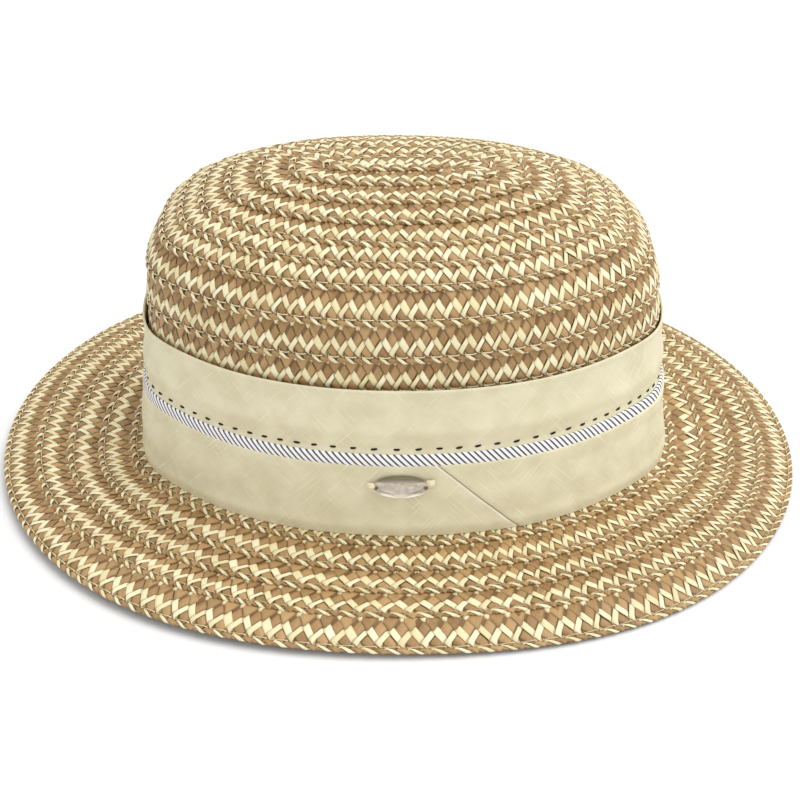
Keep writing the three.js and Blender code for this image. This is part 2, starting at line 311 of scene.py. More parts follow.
def strandArrays(first, last, place, fine, seed):
    # every strand crossing of a stretch of plait as a closed ribbon. Across the plait runs the
    # lane k from 0 to 6, and s is the spacing: down strands run u = i s + k s / 2, up strands
    # u = (i + 6) s - k s / 2. A row of a strand's mesh lies along the strands that cross it, so
    # at d to the side of its middle the lane is row - d / s or row + d / s
    p = plait
    s = p["spacing"]
    index = np.arange(int(first), int(last))
    stretches = []
    for number, kind in enumerate(overUnder):
        r = np.random.default_rng(seed * 10 + number)
        cream, way = "cream" in kind, 1.0 if "Down" in kind else -1.0
        i = index[index % 2 == (0 if cream else 1)]
        m = len(i)
        rows, heights = strandRows(kind, fine)
        change = p["creamChange"] if cream else p["tanChange"]
        full = (p["creamWidth"] if cream else p["tanWidth"]) * (1 + change * r.uniform(-1, 1, m))
        share = np.interp(rows, strandWidth[kind][0], strandWidth[kind][1])
        half = full[:, None] * share[None] / 2
        side = np.array(p["corners"])
        rise = np.array([0.0, p["arch"], p["arch"], 0.0, -p["belly"]])
        d = half[:, :, None] * side
        if kind in strandAside:
            d = d + s * np.interp(rows, strandAside[kind][0], strandAside[kind][1])[None, :, None]
        turn = np.interp(rows, [rows[0], rows[0] + p["turnAt"][0]] + p["turnAt"][1:], p["turn"])
        lane = rows[None, :, None] - way * turn[None, :, None] * d / s
        start = i * s if way > 0 else (i + 6) * s
        u = start[:, None, None] + way * lane * s / 2 + d
        u = u + p["shiftChange"] * r.uniform(-1, 1, (m, 1, 1))
        u = u + np.interp(lane, plaitProfile["lane"], plaitProfile["slide"])
        h = p["weave"] * heights[None, :, None] + rise + p["liftChange"] * r.uniform(-1, 1, (m, 1, 1))
        h = h + r.uniform(-p["twist"], p["twist"], (m, 1, 1)) * side * np.abs(side) + p["creamLift"] * cream
        points = place(u, lane, h)
        tone = r.uniform(0, 1, m)
        depth = np.broadcast_to(heights[None, :, None], points.shape[:3])
        stretches.append((points, np.full(m, float(cream)), tone, rows * p["lane"], depth))
    return stretches


strandMap = {
    # share of the way round a strand at its corners, for both maps
    "round": [0.0, 0.12, 0.38, 0.5, 0.75, 1.0],
    # margins of a strand's cell, and cells across for each cell down
    "marginX": 0.06, "marginY": 0.04, "capMargin": 0.01, "across": 3.0,
    # how far the tone moves a strand's fibres along, and the length of a cap's fibres
    "toneShift": 900.0, "capLength": 14.0,
}


def inCells(corner, x, y):
    # the map x, y of one strand moved to the corner of each strand's cell
    return np.stack([corner[0][:, None, None] + x[None], corner[1][:, None, None] + y[None]], -1)


def inset(share, margin, count):
    # a share of the way over a cell with margins, where count cells fill the map
    return (margin + (1 - 2 * margin) * share) / count


def ribbonPiece(name, stretches, material):
    # joins the ribbons of several stretches of plait in one mesh, with a tone and a kind for
    # each, a map in millimetres for the fibres, and a map with a cell of its own for each strand
    c = strandMap
    joined = {}
    total = sum(len(x[1]) for x in stretches)
    across = int(math.ceil(math.sqrt(total * c["across"])))
    down = int(math.ceil(total / across))
    base, cell = 0, 0
    for points, kind, tone, v, depth in stretches:
        m, steps, k = points.shape[:3]
        one = gridFaces(steps, k, False, True)
        starts = np.arange(m)[:, None, None] * steps * k
        quads = (one[None] + starts).reshape(-1, 4)
        caps = np.stack([np.arange(k), (steps - 1) * k + np.arange(k)[::-1]])
        caps = (caps[None] + starts).reshape(-1, k)
        # side j of the strand lies from j to j + 1 on the maps, its steps along it
        i, j = np.meshgrid(np.arange(steps - 1), np.arange(k), indexing="ij")
        cornerStep = np.stack([i, i + 1, i + 1, i], -1).reshape(-1, 4)
        cornerSide = np.stack([j, j, j + 1, j + 1], -1).reshape(-1, 4)
        capX, capY = np.tile(np.arange(k) / k, (2, 1)), np.array([[0.0] * k, [1.0] * k])
        if faceVolume(points[:1].reshape(-1, 3), one.ravel(), 4) < 0:
            quads, caps = quads[:, ::-1], caps[:, ::-1]
            cornerStep, cornerSide = cornerStep[:, ::-1], cornerSide[:, ::-1]
            capX, capY = capX[:, ::-1], capY[:, ::-1]
        x, y = np.array(c["round"])[cornerSide], v[cornerStep]
        share = (y - v[0]) / (v[-1] - v[0])
        number = cell + np.arange(m)
        corner = (number % across) / across, (number // across) / down
        shift = 0 * tone, tone * c["toneShift"]
        fibre = inCells(shift, x, y)
        capFibre = inCells(shift, capX, capY * c["capLength"])
        bake = inCells(corner, inset(x, c["marginX"], across), inset(share, c["marginY"], down))
        capBake = inCells(
            corner, inset(capX, c["marginX"], across), inset(capY, c["capMargin"], down)
        )
        stretch = {
            "points": points.reshape(-1, 3),
            "loops": np.concatenate([(quads + base).ravel(), (caps + base).ravel()]),
            "counts": np.concatenate([np.full(len(quads), 4), np.full(len(caps), k)]),
            "fibre": np.concatenate([fibre.reshape(-1, 2), capFibre.reshape(-1, 2)]),
            "OFBake": np.concatenate([bake.reshape(-1, 2), capBake.reshape(-1, 2)]),
            "strandKind": np.repeat(kind, steps * k),
            "strandTone": np.repeat(tone, steps * k),
            "strandDepth": depth.ravel(),
        }
        for title, values in stretch.items():
            joined.setdefault(title, []).append(values)
        base += m * steps * k
        cell += m
    joined = {title: np.concatenate(values) for title, values in joined.items()}
    me = meshFromArrays(name, joined["points"], joined["loops"], joined["counts"])
    for title in ("fibre", "OFBake"):
        layer = me.uv_layers.new(name=title, do_init=False)
        layer.data.foreach_set("uv", joined[title].astype(np.float32).ravel())
    for title in ("strandKind", "strandTone", "strandDepth"):
        attribute = me.attributes.new(title, "FLOAT", "POINT")
        attribute.data.foreach_set("value", joined[title].astype(np.float32))
    return addPiece(name, me, material, plait["sharp"])


crownPlait = {
    # outer edge of the row at the front, by turns, over the straw from the middle of the tip
    "edges": [4.2, 16.6, 29.1, 41.0, 52.1, 60.8, 69.4, 81.6, 94.7, 107.0, 119.3, 131.6, 143.9, 156.4],
    "start": -0.35, "firstEdge": 2.6, "wobble": 0.2, "wobblePeriod": 0.37, "wobbleFrom": 20,
    # a row's middle in from its edge, and the least distance of an edge from the crown's foot
    "middle": 6.0, "footMargin": 1.2,
    # turns of the spiral at which one piece ends and the next starts
    "tipTurns": 6.0, "sideTurns": 10.0,
    # under the band the rows are pressed: from where, over how far, how flat and how far in
    "pressedFrom": 101.5, "pressedOver": 5, "pressedFlat": 0.5, "pressedIn": 0.2,
}


def crownPath():
    # the spiral's outer edge t over the turned angle, and how far a step across the plait moves
    # t and the angle so that it stays square to the row
    c = crownPlait
    turns = len(c["edges"])
    end = np.pi / 2 + 2 * np.pi * (turns - 1)
    turned = np.linspace(c["start"], end, 9000)
    marks = np.pi / 2 + 2 * np.pi * np.arange(turns)
    marks = np.concatenate([[c["start"]], marks])
    edge = np.interp(turned, marks, [c["firstEdge"]] + c["edges"])
    wobble = c["wobble"] * wander(turned, 5, end * c["wobblePeriod"], 9)
    edge = edge + wobble * smoothStep(edge / c["wobbleFrom"])
    edge = np.minimum(edge, crownLength - c["footMargin"])
    angle = -turned
    middle = edge - c["middle"]
    e = 0.05
    zero = np.zeros_like(middle)
    et = (crownPoint(middle + e, angle, zero) - crownPoint(middle - e, angle, zero)) / (2 * e)
    ea = (crownPoint(middle, angle + 1e-3, zero) - crownPoint(middle, angle - 1e-3, zero)) / 2e-3
    tt, ta, aa = (et * et).sum(1), (et * ea).sum(1), (ea * ea).sum(1)
    square = np.maximum(tt - ta * ta / np.maximum(aa, 1e-6), 0.35)
    stepT = 1 / np.sqrt(square)
    stepA = -stepT * ta / np.maximum(aa, 200.0)
    place = crownPoint(middle, angle, zero)
    run = np.concatenate([[0], np.cumsum(np.linalg.norm(np.diff(place, axis=0), axis=1))])
    return {"run": run, "turned": turned, "edge": edge, "stepT": stepT, "stepA": stepA}


path = crownPath()
pathEnd = float(path["run"][-1])


def placeOnCrown(u, lane, h):
    # u runs against the spiral's turn, so that the strands over the rest lean to the right
    c = crownPlait
    run = np.clip(pathEnd - u, 0, pathEnd)
    edge = np.interp(run, path["run"], path["edge"])
    angle = -np.interp(run, path["run"], path["turned"])
    stepT = np.interp(run, path["run"], path["stepT"])
    stepA = np.interp(run, path["run"], path["stepA"])
    back, lift, normalOut, normalUp = profileAt(lane)
    out = normalOut * h - back
    t = np.minimum(edge + stepT * out, crownLength - 0.4)
    pressed = smoothStep((t - c["pressedFrom"]) / c["pressedOver"])
    rise = (lift + normalUp * h) * (1 - c["pressedFlat"] * pressed) - c["pressedIn"] * pressed
    return crownPoint(t, angle + stepA * out, rise)


tipCore = {
    "count": 5, "steps": 12, "halfLength": 34, "halfSpread": 7.6, "halfWidth": 1.95,
    "below": 2.1, "rise": [0.0, 0.2, 0.2, 0.0, -0.15], "droop": 0.3, "depth": 0.4,
}


def coreStrands():
    # flat strands along the middle of the tip, under the place where the spiral starts
    s, c = hatShape, tipCore
    x = np.linspace(-c["halfLength"], c["halfLength"], c["steps"])
    y = np.linspace(-c["halfSpread"], c["halfSpread"], c["count"])[:, None, None]
    top = s["rootZ"] + s["wallHeight"] + s["domeHeight"] + s["crownMiddle"] - c["below"]
    side, rise = np.array(plait["corners"]), np.array(c["rise"])
    xx = np.broadcast_to(x[None, :, None], (c["count"], c["steps"], len(side)))
    yy = y + c["halfWidth"] * side + 0 * xx
    zz = top + rise - c["droop"] * np.abs(y) / c["halfSpread"] - s["domeTilt"] * xx
    points = np.stack([xx + s["domeShift"], yy, zz], -1)
    tone = np.linspace(0.2, 0.8, c["count"])
    return [(points, 0 * tone, tone, x, np.full(xx.shape, c["depth"]))]


def runAtTurn(turns):
    # distance along the spiral at the front of the given turn
    return float(np.interp(np.pi / 2 + 2 * np.pi * turns, path["turned"], path["run"]))


brimPlait = {
    # outer edge of each closed row, out from the crown's wall, and how much wider it lies
    "edges": [6.2, 19.0, 30.9, 43.2, 57.4], "wider": [1.0, 1.0, 1.0, 1.0, 1.12], "wobble": 0.3,
    # a row's middle in from its edge, how far round each row starts after the one before, and
    # how flat the last row lies and how far up
    "middle": 6.0, "startTurn": 0.37, "rimFlat": 0.6, "rimUp": 0.05,
}


def brimRow(number):
    # the strands of one closed row of the brim, with a seed of its own
    count, place = brimRowPlace(number)
    return strandArrays(0, count, place, True, 60 + number)


def brimRowPlace(number):
    # u runs round the row, and the spacing is trimmed so that the pattern closes
    p, c = plait, brimPlait
    edge, rimRow = c["edges"][number], len(c["edges"]) - 1
    angle = np.linspace(0, 2 * np.pi, 2001)
    ring = brimPoint(np.full(2001, edge - c["middle"]), angle, np.zeros(2001))
    run = np.concatenate([[0], np.cumsum(np.linalg.norm(np.diff(ring, axis=0), axis=1))])
    length = float(run[-1])
    count = int(round(length / (2 * p["spacing"]))) * 2
    stretch = length / (count * p["spacing"])

    def place(u, lane, h):
        a = np.interp((u * stretch) % length, run, angle) + c["startTurn"] * number
        rim = edge + c["wobble"] * wander(a, 40 + number, 2 * np.pi, 7) * (number < rimRow)
        back, lift, normalOut, normalUp = profileAt(lane)
        lift = lift * c["rimFlat"] + c["rimUp"] if number == rimRow else lift
        out = rim + normalOut * h - back * c["wider"][number]
        return brimPoint(out, a, lift + normalUp * h)

    return count, place


# Sewing thread that joins the rows
rowThread = {
    "lane": 4.52, "height": 0.95, "radius": 0.21, "dip": 0.95, "dipReach": 1.0, "dipAt": 0.4,
    "sway": 0.05, "points": 6,
}


def threadArrays(first, last, place):
    # a thin tube along the crease: it dips under each pale crossing, once in two spacings
    c, p = rowThread, plait
    count = int((last - first) // 2)
    n = count * c["points"]
    u = (first + 2 * np.arange(n + 1) / c["points"]) * p["spacing"]
    phase = (u - c["dipAt"]) / (2 * p["spacing"])
    off = (phase - np.round(phase)) * 2 * p["spacing"]
    height = c["height"] - c["dip"] * np.exp(-(off / c["dipReach"]) ** 2)
    side = np.array([0.0, 1.0, 0.0, -1.0]) * c["radius"] / p["lane"]
    rise = np.array([1.0, 0.0, -1.0, 0.0]) * c["radius"]
    lane = c["lane"] + c["sway"] * np.sin(phase * 2 * np.pi)[:, None] + side[None]
    return place(np.broadcast_to(u[:, None], lane.shape), lane, height[:, None] + rise[None])


def tubeFaces(rows, cols):
    # quads of an open tube, and one flat cap at each end
    quads = gridFaces(rows, cols, False, True)
    caps = np.stack([np.arange(cols)[::-1], (rows - 1) * cols + np.arange(cols)])
    return quads, caps


def closedTubes(name, tubes, material):
    # one mesh of several closed tubes, each given as points along by points round
    allPoints, allLoops, allCounts = [], [], []
    base = 0
    for points in tubes:
        rows, cols = points.shape[:2]
        quads, caps = tubeFaces(rows, cols)
        flat = points.reshape(-1, 3)
        centre = flat.mean(0)
        both = np.concatenate([quads.ravel(), caps.ravel()])
        counts = np.concatenate([np.full(len(quads), 4), np.full(2, cols)])
        if faceVolume(flat - centre, quads.ravel(), 4) < 0:
            both = np.concatenate([quads[:, ::-1].ravel(), caps[:, ::-1].ravel()])
        allPoints.append(flat)
        allLoops.append(both + base)
        allCounts.append(counts)
        base += len(flat)
    me = meshFromArrays(
        name, np.concatenate(allPoints), np.concatenate(allLoops), np.concatenate(allCounts)
    )
    return addPiece(name, me, material, plait["sharp"])


# Cloth band
bandShape = {
    "lowerLow": -0.45, "lowerHigh": 27.8, "upperLow": 31.8, "upperHigh": 56.5,
    "pipingLow": 27.5, "pipingHigh": 32.0, "pipingOut": 1.3,
    "thick": 1.05, "upperThick": 0.85, "steps": 560,
    "hugRight": 1.25, "hugLeft": 0.85, "fullLeft": 0.9, "gap": 0.3,
    "seamTop": 12.0, "seamSlope": 1.03, "seamStep": 0.32, "stitchHeight": 33.9,
    # distance between the unseen stitches, and how deep the ribbon is
    "stitchSpacing": 6.7, "pipingThick": 0.9,
    # how far the ribbon's edges fall back, its share of the end's hug, and its own waves
    "pipingRound": 0.25, "pipingHug": 0.8, "pipingWave": 0.06,
}
# distances of the seen stitches from the front; the others lie evenly round the back
seenStitches = [
    -106.8, -100.8, -94.1, -87.5, -80.8, -74.3, -68.2, -61.9, -55.8, -50.0, -44.0, -37.8,
    -31.5, -24.8, -17.7, -10.4, -2.6, 5.0, 12.2, 19.1, 25.7, 32.6, 39.7, 47.0, 53.7, 60.1,
    66.2, 71.9, 77.6, 83.6, 90.2, 96.1, 101.8, 106.6,
]


def bandRing(angle, z, out):
    # point on the band at a height over the brim's root, out from the crown's wall
    s = hatShape
    b = s["halfWidth"] - s["wallLean"] * z / s["wallHeight"] + out
    x, y = outlineAt(b, s["spread"], s["squareness"], angle)
    return np.stack([x, y, s["rootZ"] + z], -1)


def arcFromFront(steps):
    # angles right round from the back by way of the left end, and the distance from the front
    angle = np.linspace(-1.5 * np.pi, 0.5 * np.pi, steps + 1)
    ring = bandRing(angle, np.full(steps + 1, 30.0), np.full(steps + 1, 1.5))
    run = np.concatenate([[0], np.cumsum(np.linalg.norm(np.diff(ring, axis=0), axis=1))])
    return angle, run - np.interp(-0.5 * np.pi, angle, run)


bandAngle, bandArc = arcFromFront(bandShape["steps"])
bandRound = float(bandArc[-1] - bandArc[0])
unseen = bandRound - (seenStitches[-1] - seenStitches[0])
unseenCount = int(round(unseen / bandShape["stitchSpacing"]))
stitchArcs = np.concatenate([
    seenStitches, seenStitches[-1] + unseen / unseenCount * np.arange(1, unseenCount),
])
stitchArcs = np.sort((stitchArcs + bandRound / 2) % bandRound - bandRound / 2)


def stitchBeat(arc):
    # 1 at each stitch and 0 halfway between two
    number = np.interp(arc, stitchArcs, np.arange(len(stitchArcs)))
    return 0.5 + 0.5 * np.cos(2 * np.pi * number)


def endHug(angle):
    # how far the band's upper part lies in against the crown at its two ends
    b = bandShape
    right, left = 0.5 + 0.5 * np.cos(angle), 0.5 - 0.5 * np.cos(angle)
    return b["hugRight"] * right ** 3 + b["hugLeft"] * left ** 3


def looseness(z):
    # gap behind the band, which grows with the square of the height
    share = np.clip(z / hatShape["bandHeight"], 0, 1)
    return bandShape["gap"] + hatShape["bandLooseness"] * share * share


upperFolds = {
    # folds that run right round: height, half width and how far out
    "full": (40.5, 3.4, 0.75), "pulledIn": (33.6, 1.3, -0.2), "topEdge": (55.9, 1.1, 0.3),
    "stitchWide": 1.0, "stitchDeep": 0.3,
}
upperWaves = {
    # slow waves: how far out, slant, seed and count
    "loose": (0.28, 1.1, 71, 9), "middle": (0.22, -1.4, 72, 14),
}
lowerFolds = {
    "foot": (3.2, 2.6, 0.55), "hollow": (20, 5.0, -0.3), "leftEnd": (16, 8.0, 1.0),
    "crease": 22.0, "creaseWander": 3.0, "creaseWide": 1.6, "creaseDeep": 0.3,
    # the seam's step starts here and takes so long, then fades; its groove, as a fold
    "stepFrom": 0.5, "stepOver": 0.8, "stepFades": 22, "groove": (-0.6, 0.7, -0.22),
}
lowerWaves = {
    # slow waves as above, and how much they are stretched and moved along
    "broad": (0.35, 2.2, 81, 7, 0.9, 40), "short": (0.2, 3.0, 82, 16),
}


def fold(z, at, wide, out):
    # a bell curve out of the cloth: out e^-((z - at) / wide)^2
    return out * np.exp(-((z - at) / wide) ** 2)


def clothWave(arc, z, out, slant, seed, count, stretch=1.0, shift=0.0):
    # slow waves along the cloth that slant by so much for each millimetre up
    return out * wander(arc * stretch + shift + slant * z, seed, bandRound, count)


def upperFace(arc, angle, z):
    # outer face of the upper cloth: pulled in at the stitches, full above them, close to the
    # crown at its two ends, with slow waves and a small dimple at each stitch
    b, c = bandShape, upperFolds
    share = np.clip((z - b["upperLow"]) / (b["upperHigh"] - b["upperLow"]), 0, 1)
    out = looseness(z) + b["upperThick"] - endHug(angle)
    for name in ("full", "pulledIn", "topEdge"):
        out = out + fold(z, *c[name])
    out = out + clothWave(arc, z, *upperWaves["loose"]) * share
    out = out + clothWave(arc, z, *upperWaves["middle"]) * np.sin(np.pi * share)
    return out - stitchBeat(arc) * fold(z, b["stitchHeight"], c["stitchWide"], c["stitchDeep"])


def lowerFace(arc, angle, z):
    # outer face of the lower cloth: a hollow under the ribbon, a full fold at the foot, slow
    # level creases, and the slanting seam, where the right-hand end lies over the left
    b, c = bandShape, lowerFolds
    share = np.clip((z - b["lowerLow"]) / (b["lowerHigh"] - b["lowerLow"]), 0, 1)
    out = looseness(z) + b["thick"] + fold(z, *c["foot"]) + fold(z, *c["hollow"])
    out = out + clothWave(arc, z, *lowerWaves["broad"]) * np.sin(np.pi * share)
    out = out + clothWave(arc, z, *lowerWaves["short"]) * np.sin(np.pi * share) ** 0.7
    left = (0.5 - 0.5 * np.cos(angle)) ** 3
    out = out + b["fullLeft"] * left * fold(z, *c["leftEnd"])
    crease = c["crease"] + c["creaseWander"] * wander(arc, 83, bandRound, 5)
    strength = 0.5 + 0.5 * wander(arc, 84, bandRound, 9)
    out = out - fold(z, crease, c["creaseWide"], c["creaseDeep"]) * strength
    away = seamDistance(arc, z)
    step = b["seamStep"] * smoothStep((away + c["stepFrom"]) / c["stepOver"])
    out = out + step * np.exp(-np.maximum(away, 0) / c["stepFades"])
    return out + fold(away, *c["groove"])


def seamDistance(arc, z):
    # distance from the slanting seam, positive on its right
    b = bandShape
    line = b["seamTop"] + (b["lowerHigh"] - z) * b["seamSlope"]
    return (arc - line) / math.hypot(1, b["seamSlope"])


def pipingFace(arc, angle, z):
    # outer face of the ribbon: nearly flat, and level with the cloth
    b = bandShape
    middle = (b["pipingLow"] + b["pipingHigh"]) / 2
    half = (b["pipingHigh"] - b["pipingLow"]) / 2
    off = np.clip((z - middle) / half, -1, 1)
    out = looseness(z) + b["pipingOut"] - b["pipingRound"] * off ** 4
    return out - b["pipingHug"] * endHug(angle) + b["pipingWave"] * wander(arc, 91, bandRound, 12)


def stripSection(low, high, thick, rise):
    # closed section of a strip: up its outer face, over the folded top, down inside, round the
    # foot; gives the height and how deep under the outer face each point lies
    r = thick / 2
    up = np.linspace(low + r, high - r, rise)
    arcs = np.linspace(0, np.pi, 9)[1:-1]
    top = np.stack([high - r + r * np.sin(arcs), r - r * np.cos(arcs)])
    down = np.linspace(high - r, low + r, 5)
    foot = np.stack([low + r - r * np.sin(arcs), r + r * np.cos(arcs)])
    z = np.concatenate([up, top[0], down, foot[0]])
    depth = np.concatenate([np.zeros(rise), top[1], np.full(5, thick), foot[1]])
    return z, depth


def bandStrip(name, low, high, thick, face, material, rise, mapAlong):
    # a closed ring of cloth: the section swept round the crown, with a map of the distance from
    # the front, or of the ribbon's lines, and the height in millimetres
    z, depth = stripSection(low, high, thick, rise)
    n, k = len(bandAngle) - 1, len(z)
    angle = np.broadcast_to(bandAngle[:n, None], (n, k))
    arc = np.broadcast_to(bandArc[:n, None], (n, k))
    zz = np.broadcast_to(z[None], (n, k))
    held = np.clip(zz, low + thick / 2, high - thick / 2)
    out = face(arc, angle, held) - depth[None]
    points = bandRing(angle, zz, out)
    quads = gridFaces(n, k, True, True)
    flat = points.reshape(-1, 3)
    turn = faceVolume(flat - flat.mean(0), quads.ravel(), 4) < 0
    i, j = np.meshgrid(np.arange(n), np.arange(k), indexing="ij")
    cornerArc = np.stack([mapAlong[i], mapAlong[i + 1], mapAlong[i + 1], mapAlong[i]], -1).reshape(-1, 4)
    around = np.concatenate([[0], np.cumsum(np.hypot(np.diff(z), np.diff(depth)))]) + z[0]
    last = around[-1] + math.hypot(z[0] - z[-1], depth[0] - depth[-1])
    around = np.append(around, last)
    cornerZ = np.stack([around[j], around[j], around[j + 1], around[j + 1]], -1).reshape(-1, 4)
    if turn:
        quads, cornerArc, cornerZ = quads[:, ::-1], cornerArc[:, ::-1], cornerZ[:, ::-1]
    me = meshFromArrays(name, flat, quads.ravel(), np.full(len(quads), 4))
    layer = me.uv_layers.new(name="cloth", do_init=False)
    layer.data.foreach_set("uv", np.stack([cornerArc, cornerZ], -1).astype(np.float32).ravel())
    return addPiece(name, me, material)


# Running stitches over the ribbon
stitch = {
    "length": 2.8, "height": 0.9, "thick": 0.7, "along": 9, "round": 8,
    # how full a stitch stays toward its ends, how far out it lies, and how deep its ends go in
    "reach": 0.97, "fullness": 2.6, "out": 0.22, "endsIn": 0.42,
    # changes from one stitch to the next
    "lengthChange": 0.1, "tilt": 0.05, "tiltChange": 0.12, "heightChange": 0.12,
}


def stitchTubes():
    # each stitch is a flat grain bent along the cloth, its ends pulled in
    c, b = stitch, bandShape
    r = np.random.default_rng(7)
    tubes = []
    t = np.linspace(-1, 1, c["along"])
    swell = np.sqrt(np.clip(1 - np.abs(t * c["reach"]) ** c["fullness"], 0, 1))
    turn = np.linspace(0, 2 * np.pi, c["round"], endpoint=False)
    for arc in stitchArcs:
        length = c["length"] * r.uniform(1 - c["lengthChange"], 1 + c["lengthChange"])
        tilt = r.uniform(-c["tiltChange"], c["tiltChange"]) + c["tilt"]
        along = arc + t[:, None] * length / 2 + 0 * turn[None]
        up = c["height"] / 2 * swell[:, None] * np.sin(turn)[None]
        z = b["stitchHeight"] + up + tilt * t[:, None] * length / 2
        z = z + r.uniform(-c["heightChange"], c["heightChange"])
        angle = np.interp((along - bandArc[0]) % bandRound + bandArc[0], bandArc, bandAngle)
        centre = upperFace(np.full_like(along, arc), angle, np.full_like(z, b["stitchHeight"]))
        out = centre + c["out"] - c["endsIn"] * np.abs(t[:, None]) ** 3
        out = out + c["thick"] / 2 * swell[:, None] * np.cos(turn)[None]
        tubes.append(bandRing(angle, z, out))
    return tubes


# Thread loops at the plate's ends
loopShape = {
    "radius": 0.66, "plateCentre": 20.3, "aside": -1.2, "hole": 9.1, "end": 11.2, "spread": 0.75,
    "round": 8, "leftUp": 0.5, "rightUp": 1.6,
    # the strands' way over the plate's end: share along and rise over the cloth, how much lower
    # the outer strands lie, and how close they come together at their ends
    "along": [0, 0.15, 0.5, 0.85, 1], "rise": [0.4, 1.25, 1.6, 1.25, 0.2],
    "outerDown": 0.25, "gather": 0.9, "offCloth": 0.9,
}


def loopTubes():
    # from each hole over the plate's end and down to the cloth; three strands side by side
    c = loopShape
    tubes = []
    t = np.linspace(0, 1, 15)
    for side, up in ((-1, c["leftUp"]), (1, c["rightUp"])):
        for strand in (-1, 0, 1):
            arc = c["aside"] + side * (c["hole"] + (c["end"] - c["hole"]) * t)
            rise = np.interp(t, c["along"], c["rise"]) - c["outerDown"] * abs(strand)
            apart = c["spread"] * (1 - c["gather"] * np.abs(2 * t - 1) ** 2)
            z = c["plateCentre"] + up + strand * apart
            angle = np.interp(arc, bandArc, bandAngle)
            base = lowerFace(np.zeros_like(arc), angle, np.full_like(arc, c["plateCentre"]))
            line = bandRing(angle, z, base + c["offCloth"] + rise)
            tubes.append(tubeAlong(line, c["radius"], c["round"]))
    return tubes


def tubeAlong(line, radius, count):
    # round tube about a line: two directions square to it, turned through a full circle
    step = np.gradient(line, axis=0)
    step = step / np.linalg.norm(step, axis=1, keepdims=True)
    side = np.cross(step, np.array([0.0, 0.13, 1.0]))
    side = side / np.linalg.norm(side, axis=1, keepdims=True)
    other = np.cross(side, step)
    turn = np.linspace(0, 2 * np.pi, count, endpoint=False)
    ring = side[:, None] * np.cos(turn)[None, :, None] + other[:, None] * np.sin(turn)[None, :, None]
    return line[:, None] + radius * ring


# Materials
def newGroup(name, inputs, outputs):
    # a node group with its named inputs, given with their first values, and its outputs
    group = bpy.data.node_groups.new(name, "ShaderNodeTree")
    for title, kind, value in inputs:
        socket = group.interface.new_socket(name=title, in_out="INPUT", socket_type=kind)
        socket.default_value = value
    for title, kind in outputs:
        group.interface.new_socket(name=title, in_out="OUTPUT", socket_type=kind)
    return group, group.nodes.new("NodeGroupInput"), group.nodes.new("NodeGroupOutput")


def node(tree, kind, **values):
    # a new node with its settings
    n = tree.nodes.new(kind)
    for key, value in values.items():
        setattr(n, key, value)
    return n


def fill(tree, n, values):
    # sets a node's inputs by number or title; a value is a socket to link or a plain value
    for key, value in values.items():
        if hasattr(value, "links"):
            tree.links.new(value, n.inputs[key])
        elif value is not None:
            n.inputs[key].default_value = value
    return n


def mixColour(tree, factor, a, b):
    # a (1 - factor) + b factor
    n = node(tree, "ShaderNodeMix", data_type="RGBA")
    return fill(tree, n, {0: factor, 6: a, 7: b}).outputs[2]


def calc(tree, operation, a, b=None, c=None, clamp=False):
    # one step of arithmetic on sockets or plain values
    n = node(tree, "ShaderNodeMath", operation=operation, use_clamp=clamp)
    return fill(tree, n, {0: a, 1: b, 2: c}).outputs[0]


def remap(tree, value, fromLow, fromHigh, toLow, toHigh):
    # a straight line from one range to another, held at its ends
    n = node(tree, "ShaderNodeMapRange", clamp=True)
    return fill(tree, n, {0: value, 1: fromLow, 2: fromHigh, 3: toLow, 4: toHigh}).outputs[0]


def split(tree, vector):
    # the x, y and z of a vector
    return fill(tree, node(tree, "ShaderNodeSeparateXYZ"), {0: vector}).outputs


def join(tree, x, y):
    # a vector from its x and y
    return fill(tree, node(tree, "ShaderNodeCombineXYZ"), {0: x, 1: y}).outputs[0]


def flatNoise(tree, vector, scale, detail, roughness=0.5):
    # noise on a flat map
    n = node(tree, "ShaderNodeTexNoise", noise_dimensions="2D")
    inputs = {"Vector": vector, "Scale": scale, "Detail": detail, "Roughness": roughness}
    return fill(tree, n, inputs).outputs[0]


def addBump(tree, shader, height, strength):
    # small relief; its depth is a fifth of a millimetre at the full strength
    n = node(tree, "ShaderNodeBump")
    fill(tree, n, {"Strength": strength, "Distance": 0.2 * mm, "Height": height})
    fill(tree, shader, {"Normal": n.outputs[0]})


def srgb(r, g, b):
    # 0 to 255 screen values as linear light
    c = np.array([r, g, b]) / 255
    lin = np.where(c <= 0.04045, c / 12.92, ((c + 0.055) / 1.055) ** 2.4)
    return (float(lin[0]), float(lin[1]), float(lin[2]), 1.0)


def newMaterial(name):
    # a material with its node tree and its Principled shader
    m = bpy.data.materials.new(name)
    m.use_nodes = True
    tree = m.node_tree
    return m, tree, tree.nodes["Principled BSDF"]


def makeFibreGroup():
    # long fine streaks along a strand: noise on a map stretched along it
    group, gin, gout = newGroup(
        "fibre streaks",
        [("Across", "NodeSocketFloat", 60.0), ("Along", "NodeSocketFloat", 0.12)],
        [("Streaks", "NodeSocketFloat"), ("Blotches", "NodeSocketFloat"), ("Edge", "NodeSocketFloat")],
    )
    uv = node(group, "ShaderNodeUVMap", uv_map="fibre").outputs[0]
    parts = split(group, uv)
    x = calc(group, "MULTIPLY", parts[0], gin.outputs["Across"])
    y = calc(group, "MULTIPLY", parts[1], gin.outputs["Along"])
    fine = flatNoise(group, join(group, x, y), 1.0, 3.0, 0.6)
    wide = flatNoise(group, uv, 0.22, 2.0)
    # 0 along the middle of a strand's face, 1 at its two edges; it sets where painted shade darkens the
    # edges
    off = calc(group, "ABSOLUTE", calc(group, "SUBTRACT", parts[0], 0.25))
    edge = calc(group, "POWER", calc(group, "MULTIPLY", off, 4.0, clamp=True), 7.0)
    fill(group, gout, {"Streaks": fine, "Blotches": wide, "Edge": edge})
    return group


